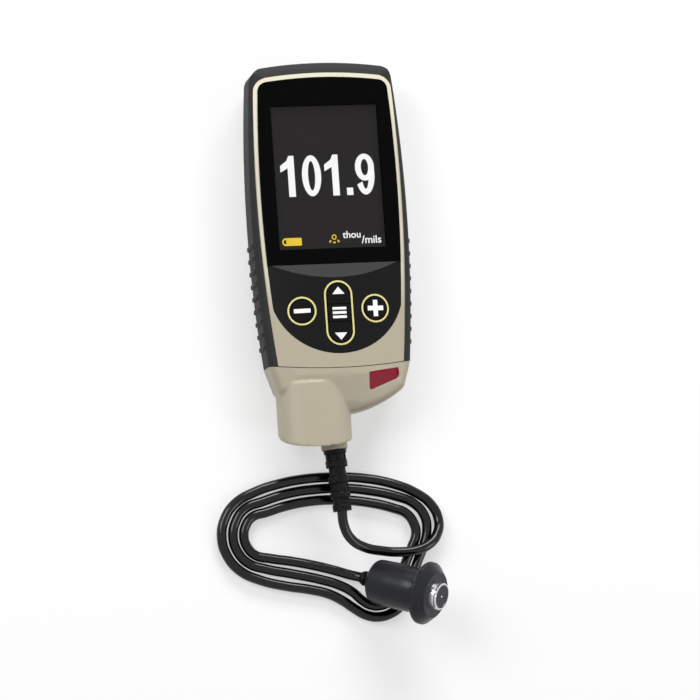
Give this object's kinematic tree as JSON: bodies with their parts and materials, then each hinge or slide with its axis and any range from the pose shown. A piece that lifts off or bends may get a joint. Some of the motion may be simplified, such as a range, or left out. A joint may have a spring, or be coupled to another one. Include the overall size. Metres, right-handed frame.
{
  "type": "coating thickness gauge",
  "caption": "Handheld coating thickness gauge lying on its back, with rubber bumper, colour display, keypad and a slide-on connector whose coiled cord ends in a flanged probe",
  "frame": {"origin": "centre of the gauge's flat back face, on which it lies", "axes": "X to the right across the keypad, Y towards the top end of the gauge, Z out of the screen"},
  "size_m": [0.0947, 0.2326, 0.0341],
  "materials": {
    "shell_plastic": "satin",
    "bumper_rubber": "matte",
    "black_rubber": "satin",
    "bright_metal": "satin",
    "lens_glass": "gloss",
    "screen": "gloss",
    "fascia_plastic": "satin",
    "outline_yellow": "matte",
    "key_plastic": "satin",
    "board_green": "satin",
    "black_plastic": "satin",
    "contact_brass": "gloss",
    "badge_red": "gloss",
    "cord_black": "gloss",
    "probe_plastic": "satin"
  },
  "bodies": {
    "gauge": {"front_housing": "shell_plastic", "rear_housing": "shell_plastic", "rubber_bumper": "bumper_rubber", "housing_gasket": "black_rubber", "housing_screws": "bright_metal", "display_lens": "lens_glass", "lcd_panel": "screen", "lcd_frame": "bright_metal", "keypad_fascia": "fascia_plastic", "key_outlines": "outline_yellow", "key_switches": "bright_metal", "main_board": "board_green", "board_chips": "black_plastic", "sounder": "black_plastic", "battery_cells": "bright_metal", "battery_springs": "bright_metal", "battery_contacts": "bright_metal", "probe_rail": "black_plastic", "rail_contacts": "contact_brass"},
    "minus_button": {"minus_key": "key_plastic"},
    "plus_button": {"plus_key": "key_plastic"},
    "up_button": {"up_key": "key_plastic"},
    "menu_button": {"menu_key": "key_plastic"},
    "down_button": {"down_key": "key_plastic"},
    "door": {"battery_door": "shell_plastic"},
    "probe_lead": {"connector_cap": "shell_plastic", "connector_block": "black_plastic", "connector_contacts": "contact_brass", "cap_badge": "badge_red", "cable_boot": "black_rubber", "probe_cable": "cord_black", "probe_boot": "black_rubber", "probe_housing": "probe_plastic", "probe_collar": "probe_plastic", "tip_ring": "bright_metal", "delay_line": "probe_plastic", "crystal": "contact_brass", "crystal_backing": "black_plastic"}
  },
  "joints": [
    {"name": "minus_press", "type": "slide", "parent": "gauge", "child": "minus_button", "axis": [0, 0, -1], "range_m": [0, 0.00055], "stiffness_N_per_m": 200, "springref_m": -0.001},
    {"name": "plus_press", "type": "slide", "parent": "gauge", "child": "plus_button", "axis": [0, 0, -1], "range_m": [0, 0.00055], "stiffness_N_per_m": 200, "springref_m": -0.001},
    {"name": "up_press", "type": "slide", "parent": "gauge", "child": "up_button", "axis": [0, 0, -1], "range_m": [0, 0.00055], "stiffness_N_per_m": 200, "springref_m": -0.001},
    {"name": "menu_press", "type": "slide", "parent": "gauge", "child": "menu_button", "axis": [0, 0, -1], "range_m": [0, 0.00055], "stiffness_N_per_m": 200, "springref_m": -0.001},
    {"name": "down_press", "type": "slide", "parent": "gauge", "child": "down_button", "axis": [0, 0, -1], "range_m": [0, 0.00055], "stiffness_N_per_m": 200, "springref_m": -0.001},
    {"name": "door_slide", "type": "slide", "parent": "gauge", "child": "door", "axis": [0, -1, 0], "range_m": [0, 0.01]},
    {"name": "connector_slide", "type": "slide", "parent": "gauge", "child": "probe_lead", "axis": [0, 0, 1], "range_m": [0, 0.03]}
  ]
}
